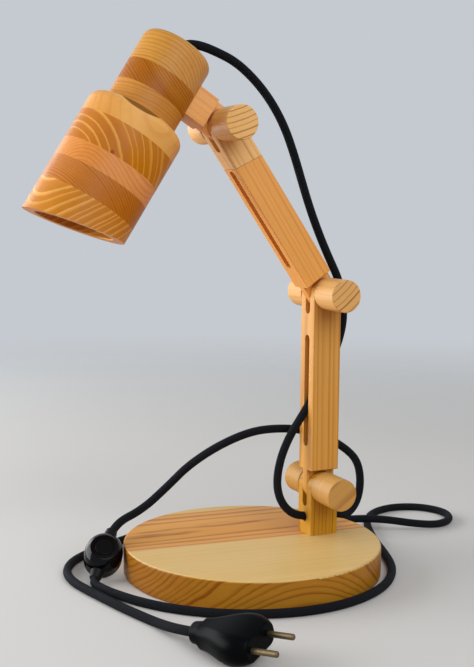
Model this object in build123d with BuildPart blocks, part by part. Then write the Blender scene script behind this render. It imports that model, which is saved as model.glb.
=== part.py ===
import os
from math import acos, cos, pi, radians, sin, sqrt, tan

from build123d import *

os.makedirs("parts", exist_ok=True)

# Cord: black textile cord, the same from the head to the plug
cord_diameter = 6.5
cord_slot_clearance = 0.25
cord_grip_clearance = 0.1
cord_side_gap = 2.75

# Base disc
base_diameter = 200
base_thickness = 23
base_edge = 1.5

# Wooden bars: post, both arms and the head's bracket share one section
bar_depth = 24
bar_width = 21
bar_edge = 0.8
post_offset = 58
pivot_rise = 38
pivot_spacing = 153.5
arm_lean = 35
arm_slot_margin = 32.5
tongue_clearance = 0.15
fork_end_clearance = 0.5
shoulder_clearance = 2
cord_hole_drop = 25

# Pivot hardware: threaded rod, rear knob glued on, front knob with an insert
rod_diameter = 6
rod_clearance = 0.05
rod_hole_clearance = 0.4
glue_gap = 0.02
knob_overhang = 0.5
knob_edge = 0.8
front_knob_length = 28
rear_knob_length = 23
rod_depth = 16
rod_hole_spare = 1.5
insert_wall = 2
insert_length = 13

# Post screws
screw_diameter = 4
screw_head_diameter = 8
screw_head_height = 2.2
screw_recess = 0.8
screw_grip = 13
screw_spacing = 13
screw_clearance = 0.25

# Turned head: axis tilt, distance from its pivot and glued layers from the top down
head_tilt = 32
head_reach = 56
head_top = 28
neck_diameter = 54
shade_diameter = 74
neck_wall = 9
shade_wall = 9
top_plate = 15.5
shoulder_wall = 10
neck_cap_height = 27
neck_upper_height = 17
neck_lower_height = 15
shade_top_height = 18
shade_upper_height = 23
shade_middle_height = 14.5
shade_lower_height = 18
shade_rim_height = 18
rim_slant = 11.5
neck_edge = 6.5
shoulder_edge = 7
neck_cove_share = 0.85
rim_edge = 1
mortise_depth = 6

# Lamp holder and bulb on the head's axis
nipple_diameter = 10
nipple_stand = 1.5
nipple_hold = 8
grip_diameter = 14
grip_lip = 1.5
grip_edge = 1.2
nut_flats = 14
nut_height = 4
holder_diameter = 28
holder_cap_height = 16.5
holder_cap_edge = 3
holder_wall = 2
socket_height = 28
socket_floor = 6
contact_diameter = 4
bulb_cap_diameter = 14
bulb_cap_clearance = 0.2
bulb_cap_height = 24
housing_height = 14
housing_top_diameter = 26
globe_diameter = 45
globe_drop = 12
globe_wall = 1.2

# Inline switch leaning against the base's edge
switch_beyond = 15.7
switch_angle = 166.8
switch_lift = 17.3
switch_length = 34
switch_width = 29
switch_back_depth = 9
switch_front_depth = 10.5
switch_edge = 4
switch_wall = 2
switch_pocket = 4
dome_edge = 0.8
dome_shares = [(0, 1, 1), (0.36, 0.98, 0.985), (0.68, 0.86, 0.9), (1, 0.62, 0.72)]
button_diameter = 14
button_clearance = 0.3
button_stand = 0.4
button_edge = 0.8
flange_width = 1.5
flange_height = 1.5
carrier_length = 17
carrier_width = 13
carrier_height = 6
terminal_length = 4
terminal_width = 8
terminal_height = 4
spring_thickness = 0.4
spring_width = 4
spring_gap = 0.1
relief_length = 5
relief_base_diameter = 11
relief_tip_diameter = 8.5
relief_hold = 1.8

# Plug lying on the floor
plug_beyond = 88.2
plug_angle = 245.7
plug_lift = 15.8
plug_length = 42.5
plug_width = 39
plug_thickness = 22
plug_shares = [(0, 0.8, 0.72), (0.4, 1, 1), (0.72, 0.73, 0.9), (1, 0.54, 0.82)]
plug_round_share = 0.9
plug_face_edge = 2
plug_collar_length = 9
plug_collar_diameter = 16.5
plug_tip_diameter = 14
plug_collar_edge = 1.2
pin_diameter = 4
pin_length = 19
pin_spacing = 19
pin_tip = 1.2

# Directions of the head, the switch and the plug
head_out = (cos(radians(head_tilt)), 0, -sin(radians(head_tilt)))
head_axis = (sin(radians(head_tilt)), 0, cos(radians(head_tilt)))
switch_run = (-0.508, -0.620, -0.598)
switch_face = (-0.130, -0.631, 0.765)
plug_run = (0.480, -0.869, 0.117)
plug_side = (0.833, 0.493, 0.252)

# Cord routes: (across, up) beside the head's axis, beside an arm's pivot or, with the depth,
# beside the post's pivot; (beyond the base's edge, angle, lift off the floor) on the floor
head_route = [(0, 20), (0, 28), (3.6, 34.4), (12.2, 39.2), (23.6, 42.6)]
span_route = [(36.6, 184.9), (42.8, 165.4), (45.4, 145), (44.3, 124), (39.8, 103), (36.8, 92.5)]
elbow_arm_route = [(36.8, 92.5), (33.8, 82), (28.2, 61), (23.8, 40), (20.8, 20.5)]
elbow_route = [(15.5, 163.5), (19.5, 147), (20.3, 131), (16.5, 115), (9.5, 99), (3, 87)]
loop_route = [(3, 87), (-3.5, 75), (-14, 59), (-26.5, 41.5), (-35, 22), (-37.5, 2), (-31.5, -14.5)]
loop_corner = 17
rise_route = [(30, -12.5, -29.5), (42.5, -8, -20), (47.5, -4.5, -3.5), (45.5, -1, 13), (33, 0, 24.5)]
rise_route += [(15, 0, 35), (-6, 0, 42), (-27, 0.5, 44.8), (-50, 3.5, 43.5), (-74, 13.5, 32)]
rise_route += [(-94, 27.5, 14.5), (-106.4, 35.5, -1.2), (-128.5, 38.5, -20.5)]
floor_route = [(27.2, 177.9, 0), (25.6, 181.8, 0), (23.6, 186.7, 0), (20.7, 193.2, 0), (18, 200.6, 0)]
floor_route += [(15.4, 209.9, 0), (12.7, 221, 0), (10, 234.4, 0), (8.4, 249.5, 0), (8.4, 265.2, 0)]
floor_route += [(8.6, 281.2, 0), (8.7, 297.4, 0), (9.3, 314.1, 0), (10, 331.8, 0), (12, 349.2, 0)]
floor_route += [(21.6, 5.7, 0), (39.2, 17.1, 0), (62.4, 25.1, 0), (91, 28.4, 0), (118.7, 26.9, 0), (136.4, 22.1, 0)]
floor_route += [(139.3, 16, 0), (125.1, 11, 0), (101.4, 8.9, 0.5), (78.2, 10.8, 3.5), (55.1, 16.1, 8)]
floor_route += [(36.1, 24.3, 8), (24.5, 34.2, 2.5), (21.7, 46.3, 0), (22.6, 61.8, 0), (21.8, 77.7, 0)]
floor_route += [(21.8, 93.8, 0), (22.4, 110.1, 0), (23.6, 126.8, 0), (30.7, 142, 0), (40.9, 153, 0)]
floor_route += [(44, 163.5, 0), (41.5, 173.1, 0), (36.1, 182.1, 0), (33.1, 191.3, 0), (33.5, 200.6, 0)]
floor_route += [(36.6, 209.9, 0), (41.8, 217.8, 0)]
switch_lead = 7
plug_lead = 13
plug_cord_hold = 5
bend_share = 0.45

# Sizes that follow from the ones above
cord_radius = cord_diameter / 2
slot_width = cord_diameter + 2 * cord_slot_clearance
tongue_thickness = slot_width - 2 * tongue_clearance
fork_floor = bar_depth / 2 + fork_end_clearance
shoulder = bar_depth / 2 + shoulder_clearance
rod_bore = rod_diameter / 2 + rod_clearance
rod_hole = rod_diameter / 2 + rod_hole_clearance
insert_radius = rod_bore + insert_wall
base_radius = base_diameter / 2
bar_half = bar_width / 2
knob_radius = bar_depth / 2 + knob_overhang
neck_radius = neck_diameter / 2
shade_radius = shade_diameter / 2
neck_bore = neck_radius - neck_wall
shade_bore = shade_radius - shade_wall
neck_cove = (shade_radius - shoulder_edge - neck_radius) * neck_cove_share
neck_cap_bottom = head_top - neck_cap_height
neck_upper_bottom = neck_cap_bottom - neck_upper_height
shoulder_level = neck_upper_bottom - neck_lower_height
shade_top_bottom = shoulder_level - shade_top_height
shade_upper_bottom = shade_top_bottom - shade_upper_height
shade_middle_bottom = shade_upper_bottom - shade_middle_height
shade_lower_bottom = shade_middle_bottom - shade_lower_height
rim_level = shade_lower_bottom - shade_rim_height
rim_spread = shade_radius * tan(radians(rim_slant))
plate_under = head_top - top_plate
nipple_radius = nipple_diameter / 2
nipple_hole = nipple_radius + glue_gap
cord_bore = cord_radius + cord_slot_clearance
grip_bore = cord_radius + cord_grip_clearance
cap_top = plate_under - nut_height
socket_top = cap_top - holder_cap_height
socket_bottom = socket_top - socket_height
thread_top = socket_top - socket_floor
bulb_cap_bottom = thread_top - bulb_cap_height
housing_bottom = bulb_cap_bottom - housing_height
globe_radius = globe_diameter / 2
globe_mouth = sqrt(globe_radius ** 2 - globe_drop ** 2)

# Pivots and working planes
base_pivot = Vector(post_offset, 0, base_thickness + pivot_rise)
elbow_pivot = base_pivot + Vector(0, 0, pivot_spacing)
lean_up = Vector(-sin(radians(arm_lean)), 0, cos(radians(arm_lean)))
lean_out = Vector(cos(radians(arm_lean)), 0, sin(radians(arm_lean)))
head_pivot = elbow_pivot + lean_up * pivot_spacing
head_origin = head_pivot - Vector(*head_out) * head_reach
head_side = Plane(origin=head_origin, x_dir=head_out, z_dir=(0, -1, 0))
head_turn = Plane(origin=head_origin, x_dir=head_out, z_dir=head_axis)
switch_spot = Vector((base_radius + switch_beyond) * cos(radians(switch_angle)),
                     (base_radius + switch_beyond) * sin(radians(switch_angle)), switch_lift)
switch_plane = Plane(origin=switch_spot, x_dir=switch_run, z_dir=switch_face)
plug_spot = Vector((base_radius + plug_beyond) * cos(radians(plug_angle)),
                   (base_radius + plug_beyond) * sin(radians(plug_angle)), plug_lift)
plug_plane = Plane(origin=plug_spot, x_dir=plug_side, z_dir=plug_run)


def side_plane(pivot, lean):
    """Plane of an arm's side view: x to the back, y along the arm."""
    return Plane(origin=pivot, x_dir=(cos(radians(lean)), 0, sin(radians(lean))), z_dir=(0, -1, 0))


def front_plane(pivot, lean):
    """Plane across an arm: x across the lamp, y along the arm."""
    return Plane(origin=pivot, x_dir=(0, 1, 0), z_dir=(cos(radians(lean)), 0, sin(radians(lean))))


# Base disc with two countersunk holes for the post's screws
with BuildPart() as base_disc:
    with BuildSketch():
        Circle(base_radius)
    extrude(amount=base_thickness)
    fillet(base_disc.edges(), base_edge)
    with Locations((post_offset, screw_spacing / 2, 0), (post_offset, -screw_spacing / 2, 0)):
        Cylinder(screw_diameter / 2 + screw_clearance, base_thickness,
                 align=(Align.CENTER, Align.CENTER, Align.MIN), mode=Mode.SUBTRACT)
        Cylinder(screw_head_diameter / 2 + screw_clearance, screw_recess,
                 align=(Align.CENTER, Align.CENTER, Align.MIN), mode=Mode.SUBTRACT)
    with Locations((post_offset, screw_spacing / 2, screw_recess),
                   (post_offset, -screw_spacing / 2, screw_recess)):
        Cone(screw_head_diameter / 2 + screw_clearance, screw_diameter / 2 + screw_clearance,
             screw_head_height, align=(Align.CENTER, Align.CENTER, Align.MIN), mode=Mode.SUBTRACT)
base_disc.part.label = "base_disc"
export_step(base_disc.part, "parts/base_disc.step")

# Post: forked at the top, with the cord hole across it and two pilot holes from below
post_side = side_plane(base_pivot, 0)
post_front = front_plane(base_pivot, 0)
with BuildPart() as post:
    with BuildSketch(post_side):
        Circle(bar_depth / 2)
        with Locations((0, -pivot_rise / 2)):
            Rectangle(bar_depth, pivot_rise)
    extrude(amount=bar_half, both=True)
    fillet(post.faces().filter_by(Axis.Y).edges().filter_by(Axis.X, reverse=True), bar_edge)
    with BuildSketch(post_front):
        Rectangle(slot_width, 2 * fork_floor)
        with Locations((0, -fork_floor)):
            Circle(slot_width / 2)
        with Locations((0, -cord_hole_drop)):
            Circle(cord_bore)
    extrude(amount=bar_depth, both=True, mode=Mode.SUBTRACT)
    with BuildSketch(post_side):
        Circle(rod_bore)
    extrude(amount=bar_width, both=True, mode=Mode.SUBTRACT)
    with Locations((post_offset, screw_spacing / 2, base_thickness),
                   (post_offset, -screw_spacing / 2, base_thickness)):
        Cylinder(screw_diameter / 2 + glue_gap, screw_grip + glue_gap,
                 align=(Align.CENTER, Align.CENTER, Align.MIN), mode=Mode.SUBTRACT)
post.part.label = "post"
export_step(post.part, "parts/post.step")

# Two countersunk screws from below into the post
with BuildPart() as post_screws:
    with Locations((post_offset, screw_spacing / 2, screw_recess),
                   (post_offset, -screw_spacing / 2, screw_recess)):
        Cone(screw_head_diameter / 2, screw_diameter / 2, screw_head_height,
             align=(Align.CENTER, Align.CENTER, Align.MIN))
        Cylinder(screw_diameter / 2, base_thickness - screw_recess + screw_grip,
                 align=(Align.CENTER, Align.CENTER, Align.MIN))
post_screws.part.label = "post_screws"
export_step(post_screws.part, "parts/post_screws.step")


def arm_bar(pivot, lean):
    """An arm: tongue at its lower pivot, fork at its upper pivot and a long slot for the cord."""
    side = side_plane(pivot, lean)
    front = front_plane(pivot, lean)
    with BuildPart() as bar:
        with BuildSketch(side):
            with Locations((0, pivot_spacing)):
                Circle(bar_depth / 2)
            with Locations((0, (shoulder + pivot_spacing) / 2)):
                Rectangle(bar_depth, pivot_spacing - shoulder)
        extrude(amount=bar_half, both=True)
        fillet(bar.faces().filter_by(Axis.Y).edges(), bar_edge)
        with BuildSketch(front):
            with Locations((0, pivot_spacing)):
                Rectangle(slot_width, 2 * fork_floor)
            with Locations((0, pivot_spacing - fork_floor)):
                Circle(slot_width / 2)
            with Locations((0, pivot_spacing / 2)):
                SlotOverall(pivot_spacing - 2 * arm_slot_margin, slot_width, rotation=90)
        extrude(amount=bar_depth, both=True, mode=Mode.SUBTRACT)
        with BuildSketch(side):
            Circle(bar_depth / 2)
            with Locations((0, shoulder / 2)):
                Rectangle(bar_depth, shoulder)
        extrude(amount=tongue_thickness / 2, both=True)
        with BuildSketch(side):
            with Locations((0, 0), (0, pivot_spacing)):
                Circle(rod_bore)
        extrude(amount=bar_width, both=True, mode=Mode.SUBTRACT)
    return bar


lower_arm = arm_bar(base_pivot, 0)
lower_arm.part.label = "lower_arm"
export_step(lower_arm.part, "parts/lower_arm.step")

upper_arm = arm_bar(elbow_pivot, arm_lean)
upper_arm.part.label = "upper_arm"
export_step(upper_arm.part, "parts/upper_arm.step")


def pivot_rod(pivot):
    """Threaded rod across a joint, from the rear knob into the front knob."""
    with BuildPart() as rod:
        with BuildSketch(side_plane(pivot, 0)):
            Circle(rod_diameter / 2)
        extrude(amount=bar_half + rod_depth, both=True)
    return rod


def rear_knob(pivot):
    """Plain dowel knob at the back, glued onto the rod."""
    with BuildPart() as knob:
        with BuildSketch(side_plane(pivot, 0).offset(-bar_half)):
            Circle(knob_radius)
        extrude(amount=-rear_knob_length)
        fillet(knob.edges(), knob_edge)
        with BuildSketch(side_plane(pivot, 0).offset(-bar_half)):
            Circle(rod_diameter / 2 + glue_gap)
        extrude(amount=-rod_depth, mode=Mode.SUBTRACT)
    return knob


def front_knob(pivot):
    """Longer dowel knob at the front, bored for its insert and the rod's end."""
    with BuildPart() as knob:
        with BuildSketch(side_plane(pivot, 0).offset(bar_half)):
            Circle(knob_radius)
        extrude(amount=front_knob_length)
        fillet(knob.edges(), knob_edge)
        with BuildSketch(side_plane(pivot, 0).offset(bar_half)):
            Circle(insert_radius + glue_gap)
        extrude(amount=insert_length, mode=Mode.SUBTRACT)
        with BuildSketch(side_plane(pivot, 0).offset(bar_half)):
            Circle(rod_hole)
        extrude(amount=rod_depth + rod_hole_spare, mode=Mode.SUBTRACT)
    return knob


def knob_insert(pivot):
    """Brass insert that turns on the rod's thread."""
    with BuildPart() as insert:
        with BuildSketch(side_plane(pivot, 0).offset(bar_half)):
            Circle(insert_radius)
            Circle(rod_bore, mode=Mode.SUBTRACT)
        extrude(amount=insert_length)
    return insert


# Hardware of the base joint
base_rod = pivot_rod(base_pivot)
base_rod.part.label = "base_rod"
export_step(base_rod.part, "parts/base_rod.step")
base_rear_knob = rear_knob(base_pivot)
base_rear_knob.part.label = "base_rear_knob"
export_step(base_rear_knob.part, "parts/base_rear_knob.step")
base_front_knob = front_knob(base_pivot)
base_front_knob.part.label = "base_front_knob"
export_step(base_front_knob.part, "parts/base_front_knob.step")
base_insert = knob_insert(base_pivot)
base_insert.part.label = "base_insert"
export_step(base_insert.part, "parts/base_insert.step")

# Hardware of the elbow joint
elbow_rod = pivot_rod(elbow_pivot)
elbow_rod.part.label = "elbow_rod"
export_step(elbow_rod.part, "parts/elbow_rod.step")
elbow_rear_knob = rear_knob(elbow_pivot)
elbow_rear_knob.part.label = "elbow_rear_knob"
export_step(elbow_rear_knob.part, "parts/elbow_rear_knob.step")
elbow_front_knob = front_knob(elbow_pivot)
elbow_front_knob.part.label = "elbow_front_knob"
export_step(elbow_front_knob.part, "parts/elbow_front_knob.step")
elbow_insert = knob_insert(elbow_pivot)
elbow_insert.part.label = "elbow_insert"
export_step(elbow_insert.part, "parts/elbow_insert.step")

# Hardware of the head joint
head_rod = pivot_rod(head_pivot)
head_rod.part.label = "head_rod"
export_step(head_rod.part, "parts/head_rod.step")
head_rear_knob = rear_knob(head_pivot)
head_rear_knob.part.label = "head_rear_knob"
export_step(head_rear_knob.part, "parts/head_rear_knob.step")
head_front_knob = front_knob(head_pivot)
head_front_knob.part.label = "head_front_knob"
export_step(head_front_knob.part, "parts/head_front_knob.step")
head_insert = knob_insert(head_pivot)
head_insert.part.label = "head_insert"
export_step(head_insert.part, "parts/head_insert.step")

# Head bracket: the same bar, with a tongue in the upper arm's fork and its other end let into the neck
bracket_side = Plane(origin=head_pivot, x_dir=head_out, z_dir=(0, -1, 0))
bracket_end = head_reach - neck_radius + mortise_depth
with BuildPart() as head_bracket:
    with BuildSketch(bracket_side):
        with Locations((-(shoulder + bracket_end) / 2, 0)):
            Rectangle(bracket_end - shoulder, bar_depth)
    extrude(amount=bar_half, both=True)
    fillet(head_bracket.edges().filter_by(Axis(head_pivot, head_out)), bar_edge)
    with BuildSketch(bracket_side):
        Circle(bar_depth / 2)
        with Locations((-shoulder / 2, 0)):
            Rectangle(shoulder, bar_depth)
    extrude(amount=tongue_thickness / 2, both=True)
    with BuildSketch(bracket_side):
        Circle(rod_bore)
    extrude(amount=bar_width, both=True, mode=Mode.SUBTRACT)
head_bracket.part.label = "head_bracket"
export_step(head_bracket.part, "parts/head_bracket.step")

# Turned outline of the whole head, beside its axis
turned_outline = [(nipple_hole, head_top), (neck_radius, head_top), (neck_radius, shoulder_level),
                  (shade_radius, shoulder_level), (shade_radius, rim_level - rim_spread),
                  (shade_bore, rim_level - rim_spread), (shade_bore, shoulder_level - shoulder_wall),
                  (neck_bore, shoulder_level - shoulder_wall), (neck_bore, plate_under),
                  (nipple_hole, plate_under)]


def turned_layer(top, bottom):
    """One glued layer of the turned head between two levels on its axis."""
    with BuildPart() as layer:
        with BuildSketch(head_side) as band:
            with BuildLine():
                Polyline(*turned_outline, close=True)
            make_face()
            fillet(band.vertices().sort_by_distance((neck_radius, head_top))[0], neck_edge)
            fillet(band.vertices().sort_by_distance((shade_radius, shoulder_level))[0], shoulder_edge)
            fillet(band.vertices().sort_by_distance((neck_radius, shoulder_level))[0], neck_cove)
            with Locations((0, (top + bottom) / 2)):
                Rectangle(2 * shade_diameter, top - bottom, mode=Mode.INTERSECT)
        revolve(axis=Axis(head_origin, head_axis))
    return layer


# Neck: three layers, the upper two with the bracket's mortise
mortise_plane = head_turn.offset(-bar_depth / 2)
mortise_middle = head_reach - bracket_end + mortise_depth
with BuildPart() as neck_cap:
    add(turned_layer(head_top, neck_cap_bottom).part)
    with BuildSketch(mortise_plane):
        with Locations((mortise_middle, 0)):
            Rectangle(2 * mortise_depth, bar_width)
    extrude(amount=bar_depth, mode=Mode.SUBTRACT)
neck_cap.part.label = "neck_cap"
export_step(neck_cap.part, "parts/neck_cap.step")

with BuildPart() as neck_upper:
    add(turned_layer(neck_cap_bottom, neck_upper_bottom).part)
    with BuildSketch(mortise_plane):
        with Locations((mortise_middle, 0)):
            Rectangle(2 * mortise_depth, bar_width)
    extrude(amount=bar_depth, mode=Mode.SUBTRACT)
neck_upper.part.label = "neck_upper"
export_step(neck_upper.part, "parts/neck_upper.step")

neck_lower = turned_layer(neck_upper_bottom, shoulder_level)
neck_lower.part.label = "neck_lower"
export_step(neck_lower.part, "parts/neck_lower.step")

# Shade: five layers, the last one cut off at a slant
shade_top = turned_layer(shoulder_level, shade_top_bottom)
shade_top.part.label = "shade_top"
export_step(shade_top.part, "parts/shade_top.step")

shade_upper = turned_layer(shade_top_bottom, shade_upper_bottom)
shade_upper.part.label = "shade_upper"
export_step(shade_upper.part, "parts/shade_upper.step")

shade_middle = turned_layer(shade_upper_bottom, shade_middle_bottom)
shade_middle.part.label = "shade_middle"
export_step(shade_middle.part, "parts/shade_middle.step")

shade_lower = turned_layer(shade_middle_bottom, shade_lower_bottom)
shade_lower.part.label = "shade_lower"
export_step(shade_lower.part, "parts/shade_lower.step")

rim_plane = head_turn.offset(rim_level).rotated((0, -rim_slant, 0))
with BuildPart() as shade_rim:
    add(turned_layer(shade_lower_bottom, rim_level - rim_spread).part)
    split(bisect_by=rim_plane, keep=Keep.TOP)
    fillet(shade_rim.faces().sort_by_distance(rim_plane.origin)[0].edges(), rim_edge)
shade_rim.part.label = "shade_rim"
export_step(shade_rim.part, "parts/shade_rim.step")

# Cord grip on top of the head
with BuildPart() as cord_grip:
    with BuildSketch(head_turn.offset(head_top)):
        Circle(grip_diameter / 2)
    extrude(amount=nipple_stand + grip_lip)
    fillet(cord_grip.faces().sort_by(Axis(head_origin, head_axis))[-1].edges(), grip_edge)
    with BuildSketch(head_turn.offset(head_top)):
        Circle(nipple_hole)
    extrude(amount=nipple_stand, mode=Mode.SUBTRACT)
    with BuildSketch(head_turn.offset(head_top)):
        Circle(grip_bore)
    extrude(amount=nipple_stand + grip_lip, mode=Mode.SUBTRACT)
cord_grip.part.label = "cord_grip"
export_step(cord_grip.part, "parts/cord_grip.step")

# Threaded nipple through the top of the head, and its lock nut
with BuildPart() as holder_nipple:
    with BuildSketch(head_turn.offset(head_top + nipple_stand)):
        Circle(nipple_radius)
        Circle(cord_bore, mode=Mode.SUBTRACT)
    extrude(amount=-(nipple_stand + top_plate + nut_height + nipple_hold))
holder_nipple.part.label = "holder_nipple"
export_step(holder_nipple.part, "parts/holder_nipple.step")

with BuildPart() as nipple_nut:
    with BuildSketch(head_turn.offset(cap_top)):
        RegularPolygon(nut_flats / 2, 6, major_radius=False)
        Circle(nipple_hole, mode=Mode.SUBTRACT)
    extrude(amount=nut_height)
nipple_nut.part.label = "nipple_nut"
export_step(nipple_nut.part, "parts/nipple_nut.step")

# Lamp holder: cap half on the nipple, socket half with the thread and the centre contact
with BuildPart() as holder_cap:
    with BuildSketch(head_turn.offset(socket_top)):
        Circle(holder_diameter / 2)
    extrude(amount=holder_cap_height)
    fillet(holder_cap.faces().sort_by(Axis(head_origin, head_axis))[-1].edges(), holder_cap_edge)
    with BuildSketch(head_turn.offset(socket_top)):
        Circle(nipple_hole)
    extrude(amount=holder_cap_height, mode=Mode.SUBTRACT)
    with BuildSketch(head_turn.offset(socket_top)):
        Circle(holder_diameter / 2 - holder_wall)
    extrude(amount=holder_cap_height - nipple_hold, mode=Mode.SUBTRACT)
holder_cap.part.label = "holder_cap"
export_step(holder_cap.part, "parts/holder_cap.step")

with BuildPart() as holder_socket:
    with BuildSketch(head_turn.offset(socket_bottom)):
        Circle(holder_diameter / 2)
    extrude(amount=socket_height)
    with BuildSketch(head_turn.offset(socket_bottom)):
        Circle(bulb_cap_diameter / 2 + bulb_cap_clearance)
    extrude(amount=socket_height - socket_floor, mode=Mode.SUBTRACT)
    with BuildSketch(head_turn.offset(thread_top)):
        Circle(contact_diameter / 2 + glue_gap)
    extrude(amount=socket_floor, mode=Mode.SUBTRACT)
holder_socket.part.label = "holder_socket"
export_step(holder_socket.part, "parts/holder_socket.step")

with BuildPart() as holder_contact:
    with BuildSketch(head_turn.offset(thread_top)):
        Circle(contact_diameter / 2)
    extrude(amount=socket_floor + holder_wall)
holder_contact.part.label = "holder_contact"
export_step(holder_contact.part, "parts/holder_contact.step")

# Bulb: screw cap, housing and globe
with BuildPart() as bulb_cap:
    with BuildSketch(head_turn.offset(bulb_cap_bottom)):
        Circle(bulb_cap_diameter / 2)
    extrude(amount=bulb_cap_height)
bulb_cap.part.label = "bulb_cap"
export_step(bulb_cap.part, "parts/bulb_cap.step")

with BuildPart() as bulb_housing:
    with BuildSketch(head_turn.offset(bulb_cap_bottom)):
        Circle(housing_top_diameter / 2)
    with BuildSketch(head_turn.offset(housing_bottom)):
        Circle(globe_mouth)
    loft()
bulb_housing.part.label = "bulb_housing"
export_step(bulb_housing.part, "parts/bulb_housing.step")

with BuildPart() as bulb_globe:
    with BuildSketch(head_side) as globe_section:
        with Locations((0, housing_bottom - globe_drop)):
            Circle(globe_radius)
            Circle(globe_radius - globe_wall, mode=Mode.SUBTRACT)
        with Locations((globe_radius, housing_bottom - globe_radius)):
            Rectangle(globe_diameter, globe_diameter, mode=Mode.INTERSECT)
    revolve(axis=Axis(head_origin, head_axis))
bulb_globe.part.label = "bulb_globe"
export_step(bulb_globe.part, "parts/bulb_globe.step")

# Switch: two oval shells, joined across the cord
with BuildPart() as switch_back:
    with BuildSketch(switch_plane):
        Ellipse(switch_length / 2, switch_width / 2)
    extrude(amount=-switch_back_depth)
    fillet(switch_back.faces().sort_by(Axis(switch_spot, switch_face))[0].edges(), switch_edge)
    with BuildSketch(switch_plane):
        Ellipse(switch_length / 2 - switch_wall, switch_width / 2 - switch_wall)
    extrude(amount=-(switch_back_depth - switch_wall), mode=Mode.SUBTRACT)
    with BuildSketch(Plane(origin=switch_spot, x_dir=switch_face, z_dir=switch_run)):
        Circle(grip_bore)
    extrude(amount=switch_length, both=True, mode=Mode.SUBTRACT)
switch_back.part.label = "switch_back"
export_step(switch_back.part, "parts/switch_back.step")

# The front shell swells to a blunt dome with the button's hole in its top
button_hole = button_diameter / 2 + button_clearance
with BuildPart() as switch_front:
    for level_share, length_share, width_share in dome_shares:
        with BuildSketch(switch_plane.offset(switch_front_depth * level_share)):
            Ellipse(switch_length / 2 * length_share, switch_width / 2 * width_share)
    loft()
    fillet(switch_front.faces().sort_by(Axis(switch_spot, switch_face))[-1].edges(), dome_edge)
    with BuildSketch(switch_plane):
        Ellipse(switch_length / 2 - switch_wall, switch_width / 2 - switch_wall)
    extrude(amount=switch_pocket, mode=Mode.SUBTRACT)
    with BuildSketch(switch_plane):
        Circle(button_hole)
    extrude(amount=switch_front_depth, mode=Mode.SUBTRACT)
    with BuildSketch(Plane(origin=switch_spot, x_dir=switch_face, z_dir=switch_run)):
        Circle(grip_bore)
    extrude(amount=switch_length, both=True, mode=Mode.SUBTRACT)
switch_front.part.label = "switch_front"
export_step(switch_front.part, "parts/switch_front.step")

# Push button with a flange under the front shell
button_seat = switch_pocket
with BuildPart() as switch_button:
    with BuildSketch(switch_plane.offset(button_seat - flange_height)):
        Circle(button_diameter / 2)
    extrude(amount=flange_height + switch_front_depth - switch_pocket + button_stand)
    fillet(switch_button.faces().sort_by(Axis(switch_spot, switch_face))[-1].edges(), button_edge)
    with BuildSketch(switch_plane.offset(button_seat - flange_height)):
        Circle(button_diameter / 2 + flange_width)
    extrude(amount=flange_height)
switch_button.part.label = "switch_button"
export_step(switch_button.part, "parts/switch_button.step")

# Inside the switch: contact carrier, two terminals and the return spring
carrier_floor = -(switch_back_depth - switch_wall)
with BuildPart() as switch_carrier:
    with BuildSketch(switch_plane.offset(carrier_floor)):
        Rectangle(carrier_length, carrier_width)
    extrude(amount=carrier_height)
switch_carrier.part.label = "switch_carrier"
export_step(switch_carrier.part, "parts/switch_carrier.step")

terminal_middle = (carrier_length + terminal_length) / 2
with BuildPart() as switch_terminals:
    with BuildSketch(switch_plane.offset(carrier_floor)):
        with Locations((terminal_middle, 0), (-terminal_middle, 0)):
            Rectangle(terminal_length, terminal_width)
    extrude(amount=terminal_height)
switch_terminals.part.label = "switch_terminals"
export_step(switch_terminals.part, "parts/switch_terminals.step")

spring_foot = carrier_floor + carrier_height
spring_crown = button_seat - flange_height - spring_gap
spring_reach = carrier_length / 2 - spring_width / 2
with BuildPart() as switch_spring:
    with BuildSketch(Plane(origin=switch_spot, x_dir=switch_run, z_dir=switch_plane.y_dir * -1)):
        with BuildLine():
            Polyline((-spring_reach, spring_foot), (0, spring_crown - spring_thickness),
                     (spring_reach, spring_foot), (spring_reach, spring_foot + spring_thickness),
                     (0, spring_crown),
                     (-spring_reach, spring_foot + spring_thickness), close=True)
        make_face()
    extrude(amount=spring_width / 2, both=True)
switch_spring.part.label = "switch_spring"
export_step(switch_spring.part, "parts/switch_spring.step")

# Reliefs where the cord enters the two ends of the switch
relief_root = switch_length / 2 - relief_hold
with BuildPart() as switch_reliefs:
    for way in (1, -1):
        with BuildSketch(Plane(origin=switch_spot + Vector(*switch_run) * (way * relief_root),
                               x_dir=switch_face, z_dir=Vector(*switch_run) * way)) as relief_end:
            Circle(relief_base_diameter / 2)
        relief_spot = switch_spot + Vector(*switch_run) * (way * (switch_length / 2 + relief_length))
        with BuildSketch(Plane(origin=relief_spot, x_dir=switch_face, z_dir=Vector(*switch_run) * way)):
            Circle(relief_tip_diameter / 2)
        loft()
    for shell in (switch_back, switch_front):
        add(shell.part, mode=Mode.SUBTRACT)
    with BuildSketch(Plane(origin=switch_spot, x_dir=switch_face, z_dir=switch_run)):
        Circle(grip_bore)
    extrude(amount=switch_length, both=True, mode=Mode.SUBTRACT)
switch_reliefs.part.label = "switch_reliefs"
export_step(switch_reliefs.part, "parts/switch_reliefs.step")

# Plug: pear-shaped body, short tapered collar and two round pins
with BuildPart() as plug_body:
    for back_share, width_share, thickness_share in plug_shares:
        with BuildSketch(plug_plane.offset(-plug_length * back_share)):
            RectangleRounded(plug_width * width_share, plug_thickness * thickness_share,
                             plug_thickness * thickness_share / 2 * plug_round_share)
    loft()
    fillet(plug_body.faces().sort_by(Axis(plug_spot, plug_run))[-1].edges(), plug_face_edge)
plug_body.part.label = "plug_body"
export_step(plug_body.part, "parts/plug_body.step")

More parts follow.
